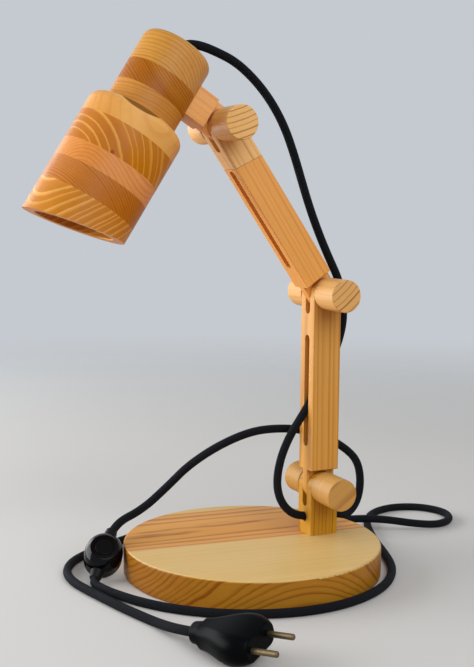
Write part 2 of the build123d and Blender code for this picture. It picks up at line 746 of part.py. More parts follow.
with BuildPart() as plug_collar:
    with BuildSketch(plug_plane.offset(-plug_length)):
        Circle(plug_collar_diameter / 2)
    with BuildSketch(plug_plane.offset(-(plug_length + plug_collar_length))):
        Circle(plug_tip_diameter / 2)
    loft()
    fillet(plug_collar.faces().sort_by(Axis(plug_spot, plug_run))[0].edges(), plug_collar_edge)
    with BuildSketch(plug_plane.offset(-plug_length)):
        Circle(grip_bore)
    extrude(amount=-plug_collar_length, mode=Mode.SUBTRACT)
plug_collar.part.label = "plug_collar"
export_step(plug_collar.part, "parts/plug_collar.step")

with BuildPart() as plug_pins:
    with BuildSketch(plug_plane):
        with Locations((pin_spacing / 2, 0), (-pin_spacing / 2, 0)):
            Circle(pin_diameter / 2)
    extrude(amount=pin_length)
    fillet(plug_pins.faces().sort_by(Axis(plug_spot, plug_run))[-2:].edges(), pin_tip)
plug_pins.part.label = "plug_pins"
export_step(plug_pins.part, "parts/plug_pins.step")


def beside(origin, out, up, spots):
    """Points at (across, up) beside an origin."""
    return [origin + out * across + up * height for across, height in spots]


def bend_radii(points):
    """Bend radius at every inner point, from the shorter run and half the turn."""
    radii = []
    for before, here, after in zip(points, points[1:], points[2:]):
        run_in = here - before
        run_out = after - here
        turn = acos(run_in.dot(run_out) / (run_in.length * run_out.length))
        radii.append(bend_share * min(run_in.length, run_out.length) / tan(turn / 2))
    return radii


def cord_tube(name, points):
    """Round cord along straight runs joined by tangent arcs."""
    radii = bend_radii(points)
    with BuildPart() as tube:
        with BuildLine():
            route = FilletPolyline(*points, radius=radii)
        with BuildSketch(Plane(origin=route @ 0, z_dir=route % 0)):
            Circle(cord_radius)
        sweep(path=route)
    expected = pi * cord_radius ** 2 * route.length
    print(name, "radii", [round(radius, 1) for radius in radii], "length", round(route.length, 1),
          "volume ratio", round(tube.part.volume / expected, 4))
    return tube


# Cord from the head's top to the upper arm, and on past the elbow into the lower arm's slot
up_way = Vector(0, 0, 1)
back_way = Vector(1, 0, 0)
cord_head = cord_tube("cord_head", beside(head_origin, Vector(*head_out), Vector(*head_axis), head_route)
                      + beside(elbow_pivot, lean_out, lean_up, span_route))
cord_head.part.label = "cord_head"
export_step(cord_head.part, "parts/cord_head.step")

cord_elbow = cord_tube("cord_elbow", beside(elbow_pivot, lean_out, lean_up, elbow_arm_route)
                       + beside(base_pivot, back_way, up_way, elbow_route))
cord_elbow.part.label = "cord_elbow"
export_step(cord_elbow.part, "parts/cord_elbow.step")

# Cord from the slot, in a loop before the post, into the post's hole
hole_spots = [(-loop_corner, -cord_hole_drop), (0, -cord_hole_drop)]
cord_loop = cord_tube("cord_loop", beside(base_pivot, back_way, up_way, loop_route + hole_spots))
cord_loop.part.label = "cord_loop"
export_step(cord_loop.part, "parts/cord_loop.step")

# Cord out of the post's back, up behind the arm and down to the switch
cord_side = bar_half + cord_radius + cord_side_gap
switch_way = Vector(*switch_run).normalized()
relief_tip = switch_length / 2 + relief_length
rise_points = beside(base_pivot, back_way, up_way,
                     [(0, -cord_hole_drop), (loop_corner, -cord_hole_drop)])
rise_points += [base_pivot + Vector(across, cord_side + depth, height)
                for across, depth, height in rise_route]
rise_points += [switch_spot - switch_way * (relief_tip + switch_lead),
                switch_spot - switch_way * relief_root]
cord_rise = cord_tube("cord_rise", rise_points)
cord_rise.part.label = "cord_rise"
export_step(cord_rise.part, "parts/cord_rise.step")

# Cord on the floor: round the front of the base, through a loop at the right, round the back and to the plug
plug_way = Vector(*plug_run).normalized()
collar_tip = plug_length + plug_collar_length
floor_points = [switch_spot + switch_way * relief_root, switch_spot + switch_way * relief_tip]
floor_points += [Vector((base_radius + beyond) * cos(radians(angle)),
                        (base_radius + beyond) * sin(radians(angle)), cord_radius + lift)
                 for beyond, angle, lift in floor_route]
floor_points += [plug_spot - plug_way * (collar_tip + plug_lead),
                 plug_spot - plug_way * (collar_tip - plug_cord_hold)]
cord_floor = cord_tube("cord_floor", floor_points)
cord_floor.part.label = "cord_floor"
export_step(cord_floor.part, "parts/cord_floor.step")
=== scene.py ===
import math

import bmesh
import bpy
from mathutils import Matrix, Vector


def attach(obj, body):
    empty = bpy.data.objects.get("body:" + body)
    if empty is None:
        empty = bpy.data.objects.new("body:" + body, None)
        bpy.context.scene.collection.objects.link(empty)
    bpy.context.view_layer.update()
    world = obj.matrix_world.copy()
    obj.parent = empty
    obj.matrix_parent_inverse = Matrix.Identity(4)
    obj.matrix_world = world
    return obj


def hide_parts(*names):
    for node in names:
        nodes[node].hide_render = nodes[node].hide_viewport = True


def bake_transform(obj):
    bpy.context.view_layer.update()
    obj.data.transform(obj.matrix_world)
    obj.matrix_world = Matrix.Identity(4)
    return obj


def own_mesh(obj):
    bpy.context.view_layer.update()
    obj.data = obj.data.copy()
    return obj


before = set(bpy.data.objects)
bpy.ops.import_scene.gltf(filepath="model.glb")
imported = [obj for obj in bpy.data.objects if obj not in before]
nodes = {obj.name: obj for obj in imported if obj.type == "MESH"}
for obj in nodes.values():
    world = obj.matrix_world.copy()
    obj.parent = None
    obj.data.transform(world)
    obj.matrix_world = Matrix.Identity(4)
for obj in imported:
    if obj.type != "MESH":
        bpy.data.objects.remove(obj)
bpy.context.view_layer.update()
scene = bpy.context.scene

# Base disc: one flat-sawn softwood board, turned round and sanded, with a satin oil finish. Pale sapwood
# lies in front, and the orange heartwood's bands run across the back. Two screws from below hold the post.
def put(tree, kind, inputs=(), **settings):
    """Place a node, set its choices, and give each input a value or a link."""
    node = tree.nodes.new(kind)
    for key, value in settings.items():
        setattr(node, key, value)
    for socket, value in dict(inputs).items():
        if isinstance(value, bpy.types.NodeSocket):
            tree.links.new(value, node.inputs[socket])
        else:
            node.inputs[socket].default_value = value
    return node


def calc(tree, operation, *values):
    """One math node on values or sockets."""
    return put(tree, "ShaderNodeMath", enumerate(values), operation=operation).outputs[0]


def times(tree, first, second):
    """Product of two values or sockets."""
    return calc(tree, "MULTIPLY", first, second)


def plus(tree, first, second):
    """Sum of two values or sockets."""
    return calc(tree, "ADD", first, second)


def ramp(tree, value, low, high, start=0.0, end=1.0):
    """Smooth step of a value from start to end between two limits."""
    limits = {"Value": value, "From Min": low, "From Max": high, "To Min": start, "To Max": end}
    return put(tree, "ShaderNodeMapRange", limits, interpolation_type="SMOOTHSTEP").outputs["Result"]


def noise(tree, vector, scale, detail=2.0):
    """Noise value around a half."""
    return put(tree, "ShaderNodeTexNoise", {"Vector": vector, "Scale": scale, "Detail": detail}).outputs[0]


def swing(tree, vector, scale, detail=2.0):
    """Noise value around nothing."""
    return calc(tree, "SUBTRACT", noise(tree, vector, scale, detail), 0.5)


def blend_colours(tree, share, first, second, kind="MIX"):
    """Mix of two colours, or another blend of them."""
    mix = put(tree, "ShaderNodeMix", {0: share, 6: first, 7: second}, data_type="RGBA", blend_type=kind)
    return mix.outputs[2]


def darkened_by(tree, share, colour, stain):
    """Colour multiplied by a darker colour, used for stains, glue lines and painted shade."""
    return blend_colours(tree, share, colour, stain, "MULTIPLY")


def tint(red, green, blue):
    """Colour as a painter reads it (0 to 255), for a shader's linear socket."""
    return tuple(((c / 255 + 0.055) / 1.055) ** 2.4 for c in (red, green, blue)) + (1.0,)


def group_with(name, inputs, outputs):
    """Empty shader node group with named sockets."""
    group = bpy.data.node_groups.new(name, "ShaderNodeTree")
    for label, kind in inputs:
        group.interface.new_socket(label, in_out="INPUT", socket_type="NodeSocket" + kind)
    for label, kind in outputs:
        group.interface.new_socket(label, in_out="OUTPUT", socket_type="NodeSocket" + kind)
    return group, group.nodes.new("NodeGroupInput").outputs, group.nodes.new("NodeGroupOutput")


def bare_finish(name):
    """New material with an empty node tree."""
    material = bpy.data.materials.new(name)
    material.use_nodes = True
    material.node_tree.nodes.clear()
    return material, material.node_tree


def pine_board():
    """Sawn softwood in the log's own coordinates: rings about Z, fibres along Z, a line in each ring."""
    slow_stretch, streak_stretch, fibre_stretch = 0.12, 0.035, 0.02
    bow_scale, wobble_scale, wobble_share = 26.0, 150.0, 0.16
    drift_scale, streak_scale, fibre_scale = 14.0, 260.0, 1500.0
    pace_scale, pace_rings = 85.0, 1.6
    line_full, line_end, faintest_line = 0.9, 0.92, 0.5
    heart_inside, heart_outside = 0.003, 0.001
    drift_shade, drift_fade = 0.22, 0.25
    roughness, streak_roughness, line_roughness = 0.42, 0.18, -0.05
    line_height, fibre_height = 0.45, 0.7
    group, given, out = group_with(
        "pine_board",
        (("Vector", "Vector"), ("Ring Width", "Float"), ("Waviness", "Float"), ("Line Start", "Float"),
         ("Line Strength", "Float"), ("Fibre", "Float"), ("Ground", "Color"), ("Line", "Color"),
         ("Heart", "Color"), ("Heart Line", "Color"), ("Heart Radius", "Float"), ("Heart Strength", "Float")),
        (("Colour", "Color"), ("Roughness", "Float"), ("Height", "Float")))
    axes = put(group, "ShaderNodeSeparateXYZ", {0: given["Vector"]}).outputs

    def drawn_out(stretch):
        return put(group, "ShaderNodeCombineXYZ",
                   {0: axes[0], 1: axes[1], 2: times(group, axes[2], stretch)}).outputs[0]

    slow = drawn_out(slow_stretch)
    across = calc(group, "SQRT", plus(group, times(group, axes[0], axes[0]), times(group, axes[1], axes[1])))
    bow = times(group, swing(group, slow, bow_scale), given["Waviness"])
    wobble = times(group, swing(group, slow, wobble_scale), times(group, given["Waviness"], wobble_share))
    radius = plus(group, across, plus(group, bow, wobble))
    pace = put(group, "ShaderNodeTexNoise",
               {"W": times(group, radius, pace_scale), "Scale": 1.0, "Detail": 1.0},
               noise_dimensions="1D").outputs[0]
    count = plus(group, calc(group, "DIVIDE", radius, given["Ring Width"]), times(group, pace, pace_rings))
    turn = calc(group, "FRACT", count)
    rise = ramp(group, turn, given["Line Start"], line_full)
    fall = ramp(group, turn, line_end, 1.0, 1.0, 0.0)
    own = put(group, "ShaderNodeTexWhiteNoise", {"W": calc(group, "FLOOR", count)},
              noise_dimensions="1D").outputs["Value"]
    depth_of_line = plus(group, times(group, own, 1.0 - faintest_line), faintest_line)
    line = times(group, times(group, rise, fall), depth_of_line)
    fibre = swing(group, drawn_out(fibre_stretch), fibre_scale, 3.0)
    streak = swing(group, drawn_out(streak_stretch), streak_scale)
    drift = swing(group, slow, drift_scale, 1.0)
    heart = ramp(group, radius, calc(group, "SUBTRACT", given["Heart Radius"], heart_inside),
                 plus(group, given["Heart Radius"], heart_outside), 1.0, 0.0)
    ground = blend_colours(group, heart, given["Ground"], given["Heart"])
    late = blend_colours(group, heart, given["Line"], given["Heart Line"])
    extra = times(group, heart, calc(group, "SUBTRACT", given["Heart Strength"], given["Line Strength"]))
    drawn = times(group, line, plus(group, given["Line Strength"], extra))
    shade = plus(group, times(group, drift, drift_shade),
                 times(group, plus(group, fibre, streak), given["Fibre"]))
    coloured = put(group, "ShaderNodeHueSaturation",
                   {"Saturation": calc(group, "SUBTRACT", 1.0, times(group, drift, drift_fade)),
                    "Value": plus(group, 1.0, shade), "Color": blend_colours(group, drawn, ground, late)})
    uneven = plus(group, times(group, streak, streak_roughness), times(group, line, line_roughness))
    height = plus(group, times(group, line, line_height), times(group, fibre, fibre_height))
    group.links.new(coloured.outputs[0], out.inputs["Colour"])
    group.links.new(plus(group, uneven, roughness), out.inputs["Roughness"])
    group.links.new(height, out.inputs["Height"])
    return group


board = pine_board()


def facing(tree, normal, way):
    """How squarely a surface faces along a direction, from 0 to 1."""
    turned = put(tree, "ShaderNodeVectorMath", {0: normal, 1: way}, operation="DOT_PRODUCT")
    return calc(tree, "ABSOLUTE", turned.outputs["Value"])


def pine(name, pith, grain, ring, ground, line, waviness=0.004, start=0.5, strength=0.6, fibre=0.16,
         heart=None, heart_line=None, heart_radius=-1.0, heart_strength=0.8, end_strength=None,
         end_stain=(0.86, 0.76, 0.66, 1.0), painted_side_shade=None, splice=None, patch=None,
         patch_darkening=(0.5, 0.36, 0.2, 1.0)):
    """Oiled softwood from a log whose middle passes through pith and runs along grain."""
    end_from, end_full = 0.5, 0.9
    edge_full, edge_gone = 0.3, 0.85
    joint_half, glue_dark, glue_gone, glue_share = 0.0002, 0.0001, 0.0005, 0.5
    glue_stain = (0.3, 0.2, 0.1, 1.0)
    next_log = (0.0213, 0.0171)
    material, tree = bare_finish(name)
    here = put(tree, "ShaderNodeTexCoord").outputs
    way = Vector(grain).normalized()
    lying_log = {"Vector": here["Object"], "Location": pith,
                 "Rotation": way.to_track_quat("Z", "Y").to_euler()}
    log = put(tree, "ShaderNodeMapping", lying_log, vector_type="TEXTURE").outputs[0]
    ends = ramp(tree, facing(tree, here["Normal"], way), end_from, end_full)
    if splice:
        place, along, other_ground, other_line = splice
        reach = put(tree, "ShaderNodeVectorMath", {0: here["Object"], 1: along}, operation="DOT_PRODUCT")
        past = calc(tree, "SUBTRACT", reach.outputs["Value"], place.dot(along))
        beyond = ramp(tree, past, -joint_half, joint_half)
        glue = ramp(tree, calc(tree, "ABSOLUTE", past), glue_dark, glue_gone, glue_share, 0.0)
        shift = put(tree, "ShaderNodeCombineXYZ", {0: times(tree, beyond, next_log[0]),
                                                   1: times(tree, beyond, next_log[1])}).outputs[0]
        log = put(tree, "ShaderNodeVectorMath", {0: log, 1: shift}, operation="ADD").outputs[0]
        ground = blend_colours(tree, beyond, ground, other_ground)
        line = blend_colours(tree, beyond, line, other_line)
    sides = ends
    # If given, a darker colour on a board's sides is painted shade, for the weaker light that falls on them.
    if painted_side_shade:
        sides = ramp(tree, facing(tree, here["Normal"], (0.0, 0.0, 1.0)), edge_full, edge_gone, 1.0, 0.0)
    more = (strength if end_strength is None else end_strength) - strength
    wood = put(tree, "ShaderNodeGroup",
               {"Vector": log, "Ring Width": ring, "Waviness": waviness, "Line Start": start,
                "Line Strength": plus(tree, strength, times(tree, sides, more)), "Fibre": fibre,
                "Ground": ground, "Line": line, "Heart": heart or ground, "Heart Line": heart_line or line,
                "Heart Radius": heart_radius, "Heart Strength": heart_strength}, node_tree=board)
    colour = darkened_by(tree, ends, wood.outputs["Colour"], end_stain)
    if splice:
        colour = darkened_by(tree, glue, colour, glue_stain)
    # Painted shade on the sides.
    if painted_side_shade:
        colour = darkened_by(tree, sides, colour, painted_side_shade)
    if patch:
        colour = darkened_by(tree, patch(tree, here["Object"]), colour, patch_darkening)
    bump = put(tree, "ShaderNodeBump",
               {"Strength": 0.35, "Distance": 0.0003, "Height": wood.outputs["Height"]})
    surface = put(tree, "ShaderNodeBsdfPrincipled",
                  {"Base Color": colour, "Roughness": wood.outputs["Roughness"], "Normal": bump.outputs[0],
                   "Coat Weight": 0.06, "Coat Roughness": 0.36, "Specular IOR Level": 0.14})
    put(tree, "ShaderNodeOutputMaterial", {"Surface": surface.outputs[0]})
    return material


def dress(material, *names):
    """Give CAD nodes a finish in all their material slots."""
    for name in names:
        for place in nodes[name].material_slots:
            place.material = material


# The disc's rim side is darkened with painted shade, as it stands in weaker light than the top.
dress(pine("base_board", pith=(0.0, 0.045, 0.120), grain=(1.0, -0.059, 0.0), ring=0.0038,
           ground=tint(217, 183, 117), line=tint(166, 107, 46), waviness=0.007, start=0.45, strength=0.15,
           fibre=0.15, heart=tint(218, 156, 78), heart_line=tint(142, 70, 14), heart_radius=0.1085,
           heart_strength=0.95, end_strength=0.9, painted_side_shade=(0.59, 0.39, 0.085, 1.0)), "base_disc")

# Post: a short length of the same square bar as the arms, forked at its top for the lower arm's tongue and
# bored across for the cord. It stands on the base on two countersunk wood screws.
post_foot = Vector((0.058, 0.0, 0.023))
post_log = post_foot + Vector((0.070, 0.012, 0.0))
# The post's ground is painted darker than the arms' bar, partly as painted shade for the weaker light low on
# the lamp.
dress(pine("post_bar", pith=post_log, grain=(0.02, 0.0, 1.0), ring=0.0034, ground=tint(196, 143, 48),
           line=tint(128, 76, 14), waviness=0.003, start=0.6, strength=0.75), "post")


def brushed_metal(name, colour, roughness, scale, depth):
    """Bare metal with fine drawn lines, from noise stretched along Y, and faint stains."""
    drawn_along = (1.0, 0.05, 1.0)
    stain_size, stain_dark, stain_range = 0.06, 0.8, 0.4
    uneven = 0.1
    material, tree = bare_finish(name)
    coords = put(tree, "ShaderNodeTexCoord").outputs["Object"]
    drawn = put(tree, "ShaderNodeMapping", {"Vector": coords, "Scale": drawn_along}).outputs[0]
    lines = noise(tree, drawn, scale, 3.0)
    stain = noise(tree, coords, scale * stain_size)
    bump = put(tree, "ShaderNodeBump", {"Strength": 0.25, "Distance": depth, "Height": lines})
    dull = put(tree, "ShaderNodeHueSaturation",
               {"Value": plus(tree, stain_dark, times(tree, stain, stain_range)), "Color": colour})
    rough = plus(tree, roughness - uneven, times(tree, plus(tree, lines, stain), uneven))
    surface = put(tree, "ShaderNodeBsdfPrincipled", {"Base Color": dull.outputs[0], "Metallic": 1.0,
                                                     "Roughness": rough, "Normal": bump.outputs[0]})
    put(tree, "ShaderNodeOutputMaterial", {"Surface": surface.outputs[0]})
    return material


zinc_steel = brushed_metal("zinc_steel", tint(190, 190, 186), roughness=0.34, scale=1800.0, depth=0.0001)
dress(zinc_steel, "post_screws")

# Lower and upper arm: two equal square bars with straight grain, each with a tongue at its lower end, a fork
# at its upper end and a long slot through it for the cord. Clear softwood, sanded and oiled; the upper one
# has a paler piece glued on near its head end.
ARM_REACH = 0.1535
SPLICE_REACH = 0.121
SPLICE_SLANT = 0.14
elbow = Vector((0.058, 0.0, 0.2145))
lean = math.radians(35)
upper_way = Vector((-math.sin(lean), 0.0, math.cos(lean)))
upper_back = Vector((math.cos(lean), 0.0, math.sin(lean)))
lower_log = post_foot + Vector((0.075, 0.020, 0.0))
upper_log = elbow + upper_back * 0.080 + Vector((0.0, 0.018, 0.0))
# Both arms are cut from one bar; the upper arm's ground is painted paler than the lower arm's, partly as
# painted light, which falls stronger on the lamp's upper parts.
dress(pine("lower_arm_bar", pith=lower_log, grain=(-0.012, 0.0, 1.0), ring=0.0046, ground=tint(212, 155, 70),
           line=tint(166, 104, 34), start=0.3), "lower_arm")
glued_on = (elbow + upper_way * SPLICE_REACH, upper_way + upper_back * SPLICE_SLANT,
            tint(234, 188, 122), tint(166, 104, 52))
dress(pine("upper_arm_bar", pith=upper_log, grain=upper_way + Vector((0.02, 0.0, 0.0)), ring=0.0042,
           ground=tint(232, 166, 86), line=tint(194, 120, 50), strength=0.55, splice=glued_on), "upper_arm")

# Pivot hardware: a threaded steel rod through each joint, a short dowel knob glued on its rear end and a
# longer one at the front that turns on a brass insert and clamps the joint. The knobs' ends show stripes.
base_pivot = Vector((0.058, 0.0, 0.061))
head_pivot = elbow + upper_way * ARM_REACH
depth = Vector((0.0, 1.0, 0.0))
# The base knob's ground is painted darker than the other knobs', partly as painted shade where the cord
# shades it.
knobs = {"base": {"pivot": base_pivot, "turn": 35, "gap": 0.0034, "pale": tint(194, 147, 78)},
         "elbow": {"pivot": elbow, "turn": 40, "gap": 0.0046, "pale": tint(225, 176, 110)},
         "head": {"pivot": head_pivot, "turn": 18, "gap": 0.0040, "pale": tint(238, 190, 125)}}
brass = brushed_metal("turned_brass", tint(196, 160, 88), roughness=0.36, scale=1500.0, depth=0.0001)
for joint, knob in knobs.items():
    stripe_turn = math.radians(knob["turn"])
    stripe = Vector((math.cos(stripe_turn), 0.0, math.sin(stripe_turn)))
    across = Vector((-stripe.z, 0.0, stripe.x))
    if joint == "base":
        knob_log, fibres = knob["pivot"] + depth * 0.140 + across * 0.03, stripe
        side_lines, end_lines = 0.5, 0.45
    else:
        knob_log, fibres = knob["pivot"] + across * 0.110, depth
        side_lines, end_lines = 0.25, 1.0
    knob_wood = pine(joint + "_knob_wood", pith=knob_log, grain=fibres, ring=knob["gap"], ground=knob["pale"],
                     line=tint(142, 90, 46), start=0.66, strength=side_lines, fibre=0.13,
                     end_strength=end_lines, end_stain=(0.98, 0.97, 0.95, 1.0))
    dress(knob_wood, joint + "_front_knob", joint + "_rear_knob")
    dress(zinc_steel, joint + "_rod")
    dress(brass, joint + "_insert")

# Head bracket: a piece of the arms' bar, let into a mortise in the neck and glued, with a tongue in the upper
# arm's fork. Its grain runs along it, and it is painted the palest and pinkest of the woods, its paleness
# partly painted light on the lamp's upper parts.
tilt = math.radians(32)
head_out = Vector((math.cos(tilt), 0.0, -math.sin(tilt)))
head_up = Vector((math.sin(tilt), 0.0, math.cos(tilt)))
bracket_log = head_pivot + head_up * 0.06 + depth * 0.02
dress(pine("bracket_bar", pith=bracket_log, grain=head_out, ring=0.0045, ground=tint(232, 172, 106),
           line=tint(210, 138, 72), strength=0.45), "head_bracket")

# Head: eight boards glued face to face and turned hollow on a lathe, a narrow neck above a wider shade
# that is cut off at a slant. Light and dark softwoods alternate, each with its grain another way, under a
# satin oil finish.
HEAD_REACH = 0.056
head_middle = head_pivot - head_out * HEAD_REACH


def in_head(out, along, up):
    """Place beside the head's axis, in metres."""
    return head_middle + head_out * out + depth * along + head_up * up


def knot(place, size):
    """A small dark knot: how much of it shows at a point."""
    def share(tree, coords):
        away = put(tree, "ShaderNodeVectorMath", {0: coords, 1: place}, operation="DISTANCE").outputs["Value"]
        return ramp(tree, away, size * 0.4, size, 0.9, 0.0)
    return share


def shoulder_lens(middle, half_turn, top, height):
    """A dark lens-shaped patch on the rounded shoulder, below the neck's foot."""
    def share(tree, coords):
        upright = {"Vector": coords, "Location": head_middle, "Rotation": (0.0, tilt, 0.0)}
        own = put(tree, "ShaderNodeMapping", upright, vector_type="TEXTURE").outputs[0]
        axes = put(tree, "ShaderNodeSeparateXYZ", {0: own}).outputs
        round_axis = calc(tree, "ARCTAN2", axes[1], axes[0])
        aside = calc(tree, "DIVIDE", calc(tree, "SUBTRACT", round_axis, middle), half_turn)
        below = calc(tree, "DIVIDE", calc(tree, "SUBTRACT", top, axes[2]), height)
        return ramp(tree, plus(tree, below, times(tree, aside, aside)), 0.9, 1.04, 1.0, 0.0)
    return share


def turned_board(node, **choices):
    """One of the head's boards, where turned end grain is hardly darker than the sides."""
    dress(pine(node + "_wood", end_stain=(0.97, 0.94, 0.9, 1.0), **choices), node)


turned_board("neck_cap", pith=in_head(-0.017, -0.002, -0.042), grain=depth - head_out * 0.13, ring=0.0027,
             ground=tint(206, 149, 72), line=tint(142, 84, 20), waviness=0.003, start=0.35, strength=0.5)
turned_board("neck_upper", pith=in_head(0.030, -0.010, 0.053), grain=depth * 0.95 + head_out * 0.33,
             ring=0.0019, ground=tint(170, 100, 8), line=tint(120, 62, 4), waviness=0.0025, start=0.3,
             strength=0.75, heart=tint(182, 113, 16), heart_line=tint(126, 70, 6), heart_radius=0.0685)
turned_board("neck_lower", pith=in_head(0.024, 0.003, -0.306), grain=depth - head_out * 0.14, ring=0.0027,
             ground=tint(198, 132, 40), line=tint(148, 86, 17), start=0.4, strength=0.45)
lens = shoulder_lens(math.radians(-108), math.radians(29), top=-0.0312, height=0.0046)
dress(pine("shade_top_wood", pith=in_head(0.010, 0.040, -0.060), grain=head_out + depth * 0.15, ring=0.0060,
           ground=tint(230, 171, 86), line=tint(210, 142, 58), waviness=0.006, strength=0.4, fibre=0.12,
           patch=lens, patch_darkening=(0.3, 0.22, 0.11, 1.0)), "shade_top")
turned_board("shade_upper", pith=in_head(-0.055, -0.001, -0.102), grain=depth, ring=0.0058,
             ground=tint(193, 119, 7), line=tint(232, 172, 61), waviness=0.005, start=0.66, strength=0.8,
             heart=tint(186, 110, 7), heart_line=tint(234, 172, 70), heart_radius=0.064,
             patch=knot(in_head(-0.0124, -0.0349, -0.0708), size=0.0022))
turned_board("shade_middle", pith=in_head(0.006, -0.009, -0.103), grain=head_out * 0.82 + depth * 0.58,
             ring=0.0026, ground=tint(224, 149, 80), line=tint(190, 112, 52), start=0.4, strength=0.55)
turned_board("shade_lower", pith=in_head(-0.087, -0.015, -0.260), grain=depth - head_out * 0.17, ring=0.0018,
             ground=tint(191, 116, 36), line=tint(142, 76, 18), waviness=0.003, start=0.4, strength=0.65)
turned_board("shade_rim", pith=in_head(0.159, 0.042, -0.223), grain=depth * 0.97 - head_out * 0.26,
             ring=0.0040, ground=tint(196, 124, 30), line=tint(242, 186, 99), strength=0.75)

# Lamp holder and bulb: a cord grip and a threaded steel nipple through the neck's top with a lock nut below,
# a white two-part holder with a brass contact, and a small bulb with a nickel screw cap and an opal globe.
def moulded(name, colour, roughness, grain, relief, mottle=0.25, coat=0.0, shine=0.5):
    """Moulded plastic or glass with a fine skin: mottled colour, uneven gloss and a shallow grain."""
    cloud_size, uneven = 0.08, 0.06
    material, tree = bare_finish(name)
    coords = put(tree, "ShaderNodeTexCoord").outputs["Object"]
    skin = noise(tree, coords, grain, 3.0)
    cloud = noise(tree, coords, grain * cloud_size, 3.0)
    bump = put(tree, "ShaderNodeBump", {"Strength": 0.3, "Distance": relief, "Height": skin})
    toned = put(tree, "ShaderNodeHueSaturation",
                {"Value": plus(tree, 1.0 - mottle / 2, times(tree, cloud, mottle)), "Color": colour})
    rough = plus(tree, roughness - uneven, times(tree, plus(tree, cloud, skin), uneven))
    surface = put(tree, "ShaderNodeBsdfPrincipled",
                  {"Base Color": toned.outputs[0], "Roughness": rough, "Normal": bump.outputs[0],
                   "Coat Weight": coat, "Coat Roughness": 0.08, "Specular IOR Level": shine})
    put(tree, "ShaderNodeOutputMaterial", {"Surface": surface.outputs[0]})
    return material


dress(moulded("grip_black", tint(10, 10, 12), roughness=0.45, grain=900.0, relief=0.0001, shine=0.3),
      "cord_grip")
dress(zinc_steel, "holder_nipple", "nipple_nut")
dress(moulded("holder_white", tint(232, 230, 222), roughness=0.32, grain=700.0, relief=0.00008, mottle=0.08),
      "holder_cap", "holder_socket")
dress(brass, "holder_contact")
dress(brushed_metal("bright_nickel", tint(214, 208, 196), roughness=0.24, scale=1600.0, depth=0.00008),
      "bulb_cap")
dress(moulded("bulb_housing_white", tint(236, 234, 228), roughness=0.36, grain=600.0, relief=0.00006,
              mottle=0.06), "bulb_housing")
dress(moulded("opal_glass", tint(244, 241, 232), roughness=0.22, grain=300.0, relief=0.00003, mottle=0.05,
              coat=0.3), "bulb_globe")

# Inline switch: two glossy black moulded shells screwed together over the cord, with a matt push button,
# rubber reliefs at both ends and a small carrier with terminals inside.
dress(moulded("switch_gloss", tint(4, 6, 9), roughness=0.12, grain=600.0, relief=0.00003, mottle=0.3,
              shine=0.16), "switch_front", "switch_back")
dress(moulded("button_matt", tint(5, 5, 7), roughness=0.42, grain=1400.0, relief=0.0001, shine=0.08),
      "switch_button")
dress(moulded("relief_rubber", tint(8, 8, 10), roughness=0.5, grain=1100.0, relief=0.0001, shine=0.15),
      "switch_reliefs")
dress(moulded("carrier_plastic", tint(206, 200, 186), roughness=0.45, grain=800.0, relief=0.0001, mottle=0.1),
      "switch_carrier")
dress(brass, "switch_terminals")

# Return spring under the button: a bent leaf of thin steel standing on the carrier, which flattens as the
# button goes down. It is drawn here in place of its CAD node as one fixed bent strip, joined to the base.
SPRING_THICKNESS = 0.0004
CROWN_SHARE = 0.2
press_way = Vector((-0.130, -0.631, 0.765))
spring_foot = Vector((-0.114112, 0.022089, 0.012169))
spring_crown = Vector((-0.111200, 0.024226, 0.018350))
spring_end = Vector((-0.107508, 0.030149, 0.019942))
spring_across = Vector((-0.003406, 0.001865, 0.000959))
near_crown = spring_crown.lerp(spring_foot, CROWN_SHARE)
past_crown = spring_crown.lerp(spring_end, CROWN_SHARE)
crown_top = spring_crown.lerp((near_crown + past_crown) / 2, 0.5)


def corners(geometry):
    """The vertices among what an operator made."""
    return [part for part in geometry if isinstance(part, bmesh.types.BMVert)]


leaf = bmesh.new()
bend = [leaf.verts.new(place) for place in (spring_foot, near_crown, crown_top, past_crown, spring_end)]
outline = [leaf.edges.new(pair) for pair in zip(bend, bend[1:])]
strip = bmesh.ops.extrude_edge_only(leaf, edges=outline)["geom"]
bmesh.ops.translate(leaf, vec=spring_across, verts=corners(strip))
upper = bmesh.ops.extrude_face_region(leaf, geom=leaf.faces[:], use_keep_orig=True)["geom"]
bmesh.ops.translate(leaf, vec=press_way * SPRING_THICKNESS, verts=corners(upper))
bmesh.ops.recalc_face_normals(leaf, faces=leaf.faces[:])
leaf_mesh = bpy.data.meshes.new("switch_leaf")
leaf.to_mesh(leaf_mesh)
leaf.free()
leaf_mesh.materials.append(zinc_steel)
switch_leaf = bpy.data.objects.new("switch_leaf", leaf_mesh)
scene.collection.objects.link(switch_leaf)
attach(switch_leaf, "base")
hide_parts("switch_spring")
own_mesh(switch_leaf)

# Plug: a pear-shaped two-pin plug moulded in one piece in black, with a short collar round the cord and two
# nickel-plated brass pins.
dress(moulded("plug_satin", tint(2, 4, 7), roughness=0.34, grain=1000.0, relief=0.0001, mottle=0.1,
              shine=0.04), "plug_body", "plug_collar")
dress(brushed_metal("worn_nickel", tint(112, 98, 72), roughness=0.5, scale=1600.0, depth=0.0001), "plug_pins")

# Cord: one black textile cord, a round rubber lead in a braided polyester sleeve, from the head's top along
# the arms, through the post, to the switch and on to the plug. Here it comes in five lengths, drawn in place
# of their CAD nodes; the two from the post on are joined to the base.
CORD_DIAMETER = 0.0065
CORD_SIDES = 20
BRAID_STRANDS = 14


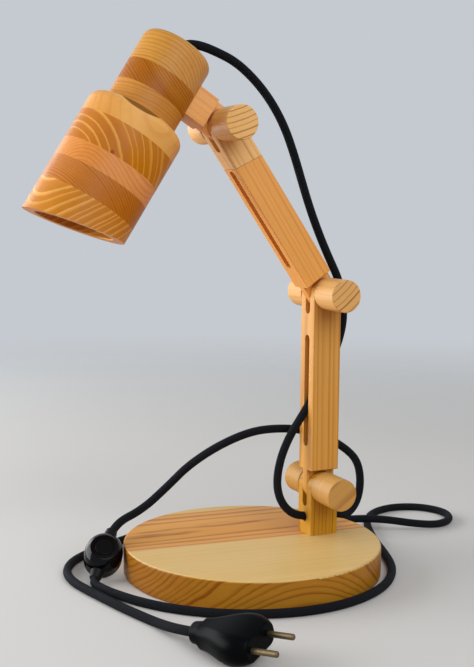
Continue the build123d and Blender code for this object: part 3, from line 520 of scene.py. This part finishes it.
def braid_weave():
    """Braid on a cord's UV in metres: strand height, and a tone for painted shade between the strands and a
    painted highlight on their crowns.
    """
    fuzz_scale, fuzz_height, fuzz_tone, gap_shade_power = 4000.0, 0.3, 0.5, 3.0
    group, given, out = group_with("braid_weave", (("Vector", "Vector"), ("Strand", "Float")),
                                   (("Height", "Float"), ("Tone", "Float")))
    axes = put(group, "ShaderNodeSeparateXYZ", {0: given["Vector"]}).outputs
    around = calc(group, "DIVIDE", axes[0], given["Strand"])
    along = calc(group, "DIVIDE", axes[1], given["Strand"])
    left = plus(group, around, along)
    right = calc(group, "SUBTRACT", around, along)
    crowns = []
    for way in (left, right):
        crowns.append(calc(group, "SINE", times(group, calc(group, "FRACT", way), math.pi)))
    crossing = plus(group, calc(group, "FLOOR", left), calc(group, "FLOOR", right))
    over = calc(group, "PINGPONG", crossing, 1.0)
    weave = plus(group, times(group, crowns[0], over),
                 times(group, crowns[1], calc(group, "SUBTRACT", 1.0, over)))
    fuzz = noise(group, given["Vector"], fuzz_scale)
    tone = times(group, calc(group, "POWER", weave, gap_shade_power), plus(group, fuzz_tone, fuzz))
    group.links.new(plus(group, weave, times(group, fuzz, fuzz_height)), out.inputs["Height"])
    group.links.new(tone, out.inputs["Tone"])
    return group


braid, braid_tree = bare_finish("black_braid")
braid_uv = put(braid_tree, "ShaderNodeUVMap", uv_map="UVMap").outputs[0]
strand_width = math.pi * CORD_DIAMETER / BRAID_STRANDS
strands = put(braid_tree, "ShaderNodeGroup", {"Vector": braid_uv, "Strand": strand_width},
              node_tree=braid_weave()).outputs
# The cord's colour: painted shade, near black, in the gaps between strands, and a painted highlight, dark
# grey, on their crowns.
yarn_shade_and_highlight = blend_colours(braid_tree, strands["Tone"], tint(1, 1, 2), tint(36, 40, 48))
yarn_roughness, crown_roughness = 0.62, 0.12
braid_rough = plus(braid_tree, yarn_roughness, times(braid_tree, strands["Tone"], crown_roughness))
braid_bump = put(braid_tree, "ShaderNodeBump",
                 {"Strength": 0.9, "Distance": 0.0006, "Height": strands["Height"]})
braid_surface = put(braid_tree, "ShaderNodeBsdfPrincipled",
                    {"Base Color": yarn_shade_and_highlight, "Roughness": braid_rough, "Normal": braid_bump.outputs[0],
                     "Sheen Weight": 0.01, "Sheen Roughness": 0.4, "Specular IOR Level": 0.06})
put(braid_tree, "ShaderNodeOutputMaterial", {"Surface": braid_surface.outputs[0]})


def smooth_line(points):
    """Points along the NURBS spline that has the route's points as its control points."""
    curve = bpy.data.curves.new("cord_route", "CURVE")
    curve.dimensions = "3D"
    curve.resolution_u = 9
    spline = curve.splines.new("NURBS")
    spline.points.add(len(points) - 1)
    for control, place in zip(spline.points, points):
        control.co = (*place, 1.0)
    spline.order_u = 3
    spline.use_endpoint_u = True
    route = bpy.data.objects.new("cord_route", curve)
    drawn = bpy.data.meshes.new_from_object(route)
    line = [vertex.co.copy() for vertex in drawn.vertices]
    bpy.data.meshes.remove(drawn)
    bpy.data.objects.remove(route)
    bpy.data.curves.remove(curve)
    return line


def cord_piece(name, line):
    """Round tube along a line, with a UV map in metres round and along it."""
    mesh = bpy.data.meshes.new(name)
    tube = bmesh.new()
    index = tube.verts.layers.int.new("side")
    reach = tube.verts.layers.float.new("reach")
    way = (line[1] - line[0]).normalized()
    stand = Matrix.Translation(line[0]) @ way.to_track_quat("Z", "Y").to_matrix().to_4x4()
    ring = bmesh.ops.create_circle(tube, segments=CORD_SIDES, radius=CORD_DIAMETER / 2, matrix=stand)["verts"]
    for side, vertex in enumerate(ring):
        vertex[index] = side
    edges = tube.edges[:]
    run = 0.0
    for here in range(1, len(line)):
        before = here - 1
        ahead = line[min(here + 1, len(line) - 1)] - line[before]
        turn = way.rotation_difference(ahead.normalized()).to_matrix().to_4x4()
        step = Matrix.Translation(line[here]) @ turn @ Matrix.Translation(-line[before])
        run += (line[here] - line[before]).length
        made = bmesh.ops.extrude_edge_only(tube, edges=edges)["geom"]
        ring = corners(made)
        edges = [part for part in made if isinstance(part, bmesh.types.BMEdge)]
        bmesh.ops.transform(tube, matrix=step, verts=ring)
        for vertex in ring:
            vertex[reach] = run
        way = ahead.normalized()
    bmesh.ops.holes_fill(tube, edges=tube.edges[:], sides=0)
    bmesh.ops.recalc_face_normals(tube, faces=tube.faces[:])
    places = tube.loops.layers.uv.new("UVMap")
    for face in tube.faces:
        face.smooth = len(face.verts) == 4
        seam = {0, CORD_SIDES - 1} <= {vertex[index] for vertex in face.verts}
        for loop in face.loops:
            side = loop.vert[index]
            if seam and side == 0:
                side = CORD_SIDES
            loop[places].uv = (side / CORD_SIDES * math.pi * CORD_DIAMETER, loop.vert[reach])
    tube.to_mesh(mesh)
    tube.free()
    mesh.materials.append(braid)
    piece = bpy.data.objects.new(name, mesh)
    scene.collection.objects.link(piece)
    return piece


def lay_cord(node, points):
    """One length of the cord in place of its CAD node."""
    line = smooth_line(points)
    piece = cord_piece(node + "_braid", line)
    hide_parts(node)
    return piece


lying = CORD_DIAMETER / 2
head_hold = (0.0351, 0.0, 0.3114)
slot_hold = (0.0610, 0.0, 0.1480)
post_hold = (0.0580, 0.0, 0.0360)
head_route = [(-0.0669, 0, 0.3869), (-0.0627, 0, 0.3937), (-0.0563, 0, 0.3972), (-0.0464, 0, 0.3967),
              (-0.0350, 0, 0.3935), (-0.0181, 0, 0.3870), (-0.0018, 0, 0.3745), (0.0120, 0, 0.3593),
              (0.0232, 0, 0.3415), (0.0315, 0, 0.3217), head_hold]
elbow_route = [head_hold, (0.0387, 0, 0.3011), (0.0461, 0, 0.2806), (0.0546, 0, 0.2609), (0.0633, 0, 0.2432),
               (0.0735, 0, 0.2245), (0.0775, 0, 0.2080), (0.0783, 0, 0.1920), (0.0745, 0, 0.1760),
               (0.0675, 0, 0.1600), slot_hold]
loop_route = [slot_hold, (0.0545, 0, 0.1360), (0.0440, 0, 0.1200), (0.0315, 0, 0.1025), (0.0230, 0, 0.0830),
              (0.0205, 0, 0.0630), (0.0265, 0, 0.0465), (0.0410, 0, 0.0360), post_hold]
rise_route = [post_hold, (0.0750, 0, 0.0360), (0.0880, 0.0040, 0.0315), (0.1005, 0.0085, 0.0410),
              (0.1055, 0.0120, 0.0575), (0.1035, 0.0155, 0.0740), (0.0910, 0.0165, 0.0855),
              (0.0730, 0.0165, 0.0960), (0.0520, 0.0165, 0.1030), (0.0310, 0.0170, 0.1058),
              (0.0080, 0.0200, 0.1045), (-0.0160, 0.0300, 0.0930), (-0.0360, 0.0440, 0.0755),
              (-0.0484, 0.0520, 0.0598), (-0.0705, 0.0550, 0.0405), (-0.0979, 0.0444, 0.0346),
              (-0.1049, 0.0358, 0.0264)]
floor_route = [(-0.1204, 0.0170, 0.0082), (-0.1238, 0.0128, 0.0041), (-0.1271, 0.0047, lying),
               (-0.1255, -0.0039, lying), (-0.1228, -0.0144, lying), (-0.1175, -0.0276, lying),
               (-0.1105, -0.0415, lying), (-0.1000, -0.0575, lying), (-0.0851, -0.0739, lying),
               (-0.0640, -0.0894, lying), (-0.0380, -0.1015, lying), (-0.0091, -0.1080, lying),
               (0.0211, -0.1065, lying), (0.0500, -0.0965, lying), (0.0761, -0.0785, lying),
               (0.0969, -0.0520, lying), (0.1100, -0.0210, lying), (0.1210, 0.0121, lying),
               (0.1330, 0.0409, lying), (0.1471, 0.0689, lying), (0.1680, 0.0908, lying),
               (0.1950, 0.0989, lying), (0.2190, 0.0889, lying), (0.2300, 0.0660, lying),
               (0.2210, 0.0430, lying), (0.1990, 0.0312, 0.0037), (0.1750, 0.0334, 0.0067),
               (0.1490, 0.0430, 0.0112), (0.1240, 0.0560, 0.0112), (0.1030, 0.0700, 0.0057),
               (0.0841, 0.0880, lying), (0.0579, 0.1080, lying), (0.0259, 0.1190, lying),
               (-0.0081, 0.1215, lying), (-0.0421, 0.1149, lying), (-0.0740, 0.0990, lying),
               (-0.1030, 0.0805, lying), (-0.1255, 0.0640, lying), (-0.1381, 0.0409, lying),
               (-0.1405, 0.0170, lying), (-0.1360, -0.0050, lying), (-0.1305, -0.0261, lying),
               (-0.1250, -0.0470, lying), (-0.1184, -0.0681, lying), (-0.1120, -0.0869, lying),
               (-0.1084, -0.1155, 0.0083), (-0.0998, -0.1311, 0.0104)]
head_cord = lay_cord("cord_head", head_route)
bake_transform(head_cord)
elbow_cord = lay_cord("cord_elbow", elbow_route)
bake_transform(elbow_cord)
loop_cord = lay_cord("cord_loop", loop_route)
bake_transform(loop_cord)
rise_cord = lay_cord("cord_rise", rise_route)
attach(rise_cord, "base")
floor_cord = lay_cord("cord_floor", floor_route)
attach(floor_cord, "base")

# Studio: a plain pale floor that fades into an even pale surround, three soft lamps (at the left, behind at
# the left, and above in front), and the camera at the photograph's angle.
FLOOR_SIZE = 6.0
FLOOR_FULL, FLOOR_GONE = 0.4, 1.7


def looked_at(tree):
    """One for what the camera sees, straight or in metal and glass, and nothing for scattered light."""
    ray = put(tree, "ShaderNodeLightPath").outputs
    mirrored = calc(tree, "MAXIMUM", ray["Is Glossy Ray"], ray["Is Transmission Ray"])
    return calc(tree, "MAXIMUM", ray["Is Camera Ray"], mirrored)


floor_mesh = bpy.data.meshes.new("studio_floor")
floor_sheet = bmesh.new()
bmesh.ops.create_grid(floor_sheet, x_segments=1, y_segments=1, size=FLOOR_SIZE)
floor_sheet.to_mesh(floor_mesh)
floor_sheet.free()
floor = bpy.data.objects.new("studio_floor", floor_mesh)
scene.collection.objects.link(floor)
floor_paint, floor_tree = bare_finish("floor_paint")
floor_coords = put(floor_tree, "ShaderNodeTexCoord").outputs["Object"]
cloud_scale, cloud_darkest, cloud_range = 3.0, 0.98, 0.04
floor_cloud = times(floor_tree, noise(floor_tree, floor_coords, cloud_scale), cloud_range)
floor_pale = put(floor_tree, "ShaderNodeHueSaturation",
                 {"Value": plus(floor_tree, cloud_darkest, floor_cloud),
                  "Color": tint(208, 207, 205)}).outputs[0]
floor_away = put(floor_tree, "ShaderNodeVectorMath", {0: floor_coords}, operation="LENGTH").outputs["Value"]
floor_colour = blend_colours(floor_tree, looked_at(floor_tree), tint(168, 124, 74), floor_pale)
floor_surface = put(floor_tree, "ShaderNodeBsdfPrincipled",
                    {"Base Color": floor_colour, "Roughness": 0.75,
                     "Alpha": ramp(floor_tree, floor_away, FLOOR_FULL, FLOOR_GONE, 1.0, 0.0)})
put(floor_tree, "ShaderNodeOutputMaterial", {"Surface": floor_surface.outputs[0]})
floor_mesh.materials.append(floor_paint)

lamp_aim = Vector((0.0, 0.0, 0.2))
for lamp_name, lamp_place, lamp_size, lamp_power in (("key_lamp", (-1.4, 0.5, 0.48), 1.0, 20.0),
                                                     ("rear_lamp", (-0.8, 1.35, 0.4), 1.2, 15.0),
                                                     ("fill_lamp", (0.1, -1.9, 1.5), 1.8, 35.0)):
    lamp_data = bpy.data.lights.new(lamp_name, "AREA")
    lamp_data.size = lamp_size
    lamp_data.energy = lamp_power
    lamp = bpy.data.objects.new(lamp_name, lamp_data)
    lamp.location = lamp_place
    lamp.rotation_euler = (lamp_aim - Vector(lamp_place)).to_track_quat("-Z", "Y").to_euler()
    scene.collection.objects.link(lamp)

world = bpy.data.worlds.new("studio_surround")
scene.world = world
world.use_nodes = True
surround = world.node_tree
surround.nodes.clear()
even_light = put(surround, "ShaderNodeBackground", {"Color": (1.0, 1.0, 1.0, 1.0), "Strength": 0.3})
pale_wall = put(surround, "ShaderNodeBackground", {"Color": tint(197, 202, 208), "Strength": 1.0})
light_or_wall = put(surround, "ShaderNodeMixShader",
                    {0: looked_at(surround), 1: even_light.outputs[0], 2: pale_wall.outputs[0]})
put(surround, "ShaderNodeOutputWorld", {"Surface": light_or_wall.outputs[0]})

camera_data = bpy.data.cameras.new("camera")
camera_data.lens = 59.36
camera_data.sensor_fit = "VERTICAL"
camera_data.sensor_height = 36.0
camera = bpy.data.objects.new("camera", camera_data)
camera.location = (-0.3678, -0.7505, 0.2777)
camera.rotation_euler = [math.radians(turn) for turn in (83.6397, -0.5695, -25.1235)]
scene.collection.objects.link(camera)
scene.camera = camera
scene.view_settings.view_transform = "Standard"
